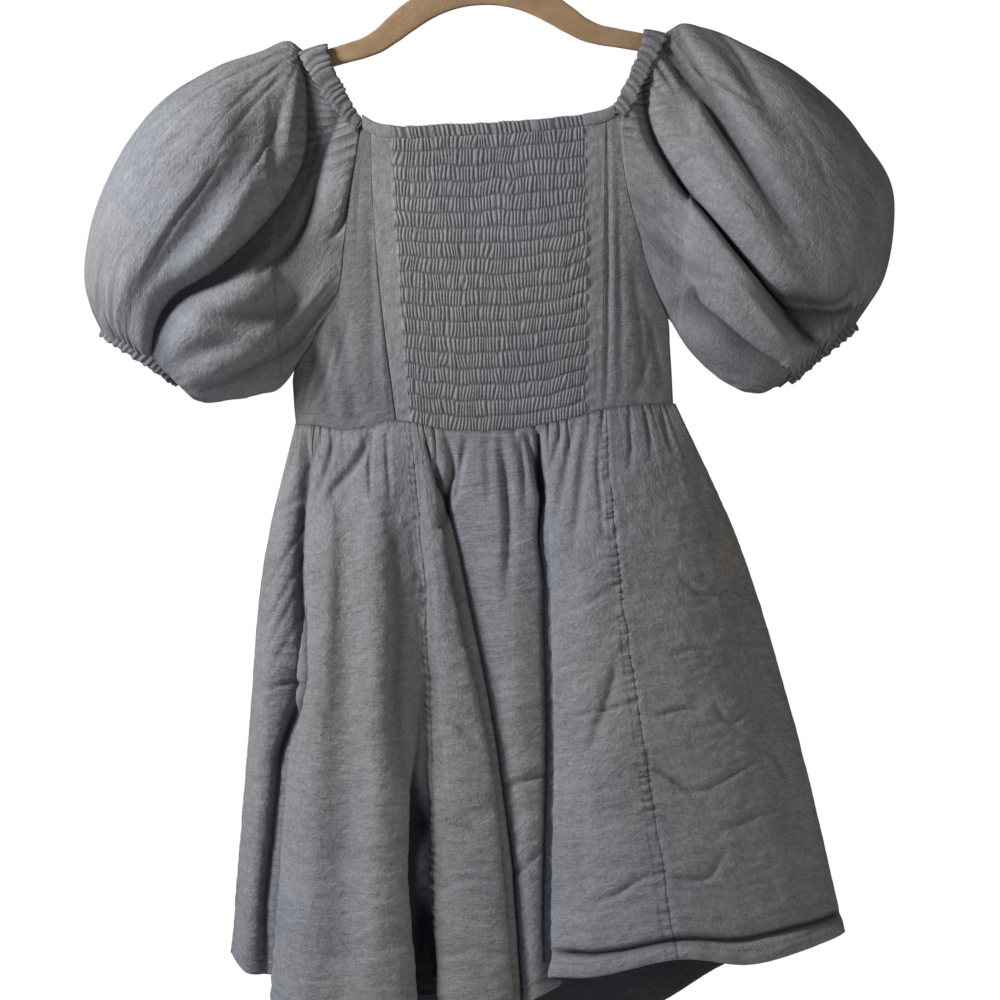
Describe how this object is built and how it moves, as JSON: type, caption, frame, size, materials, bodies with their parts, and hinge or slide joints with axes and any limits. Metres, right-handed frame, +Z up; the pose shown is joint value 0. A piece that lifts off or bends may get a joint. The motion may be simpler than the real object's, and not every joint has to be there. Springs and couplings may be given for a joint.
{
  "type": "smocked dress on a hanger",
  "caption": "Girl's puff-sleeved dress with a shirred front, ribbed neck and shoulder casings and a long gathered skirt, hanging on a slim velvet hanger.",
  "frame": {"origin": "inside of the hook's crown, where a rail carries the hanger", "axes": "+Z up, +X to the right as the dress is seen from the front, the dress's front faces -Y"},
  "size_m": [0.5241, 0.115, 0.7453],
  "materials": {
    "dress_cloth": "washed slate blue cotton with a slub weave",
    "casing_cloth": "the same cotton, drawn up on elastic",
    "hanger_velvet": "tan velvet flock over plastic",
    "hook_steel": "plated steel wire"
  },
  "bodies": {
    "root": {"front_centre": "dress_cloth", "front_side_left": "dress_cloth", "front_side_right": "dress_cloth", "back_bodice": "dress_cloth", "neck_casing_front": "casing_cloth", "neck_casing_back": "casing_cloth", "shoulder_casing_left": "casing_cloth", "shoulder_casing_right": "casing_cloth", "sleeve_left": "dress_cloth", "sleeve_right": "dress_cloth", "cuff_left": "casing_cloth", "cuff_right": "casing_cloth", "skirt_front_left": "dress_cloth", "skirt_front_centre": "dress_cloth", "skirt_front_right": "dress_cloth", "skirt_back": "dress_cloth", "hanger_bar": "hanger_velvet", "hanger_hook": "hook_steel"}
  },
  "joints": []
}
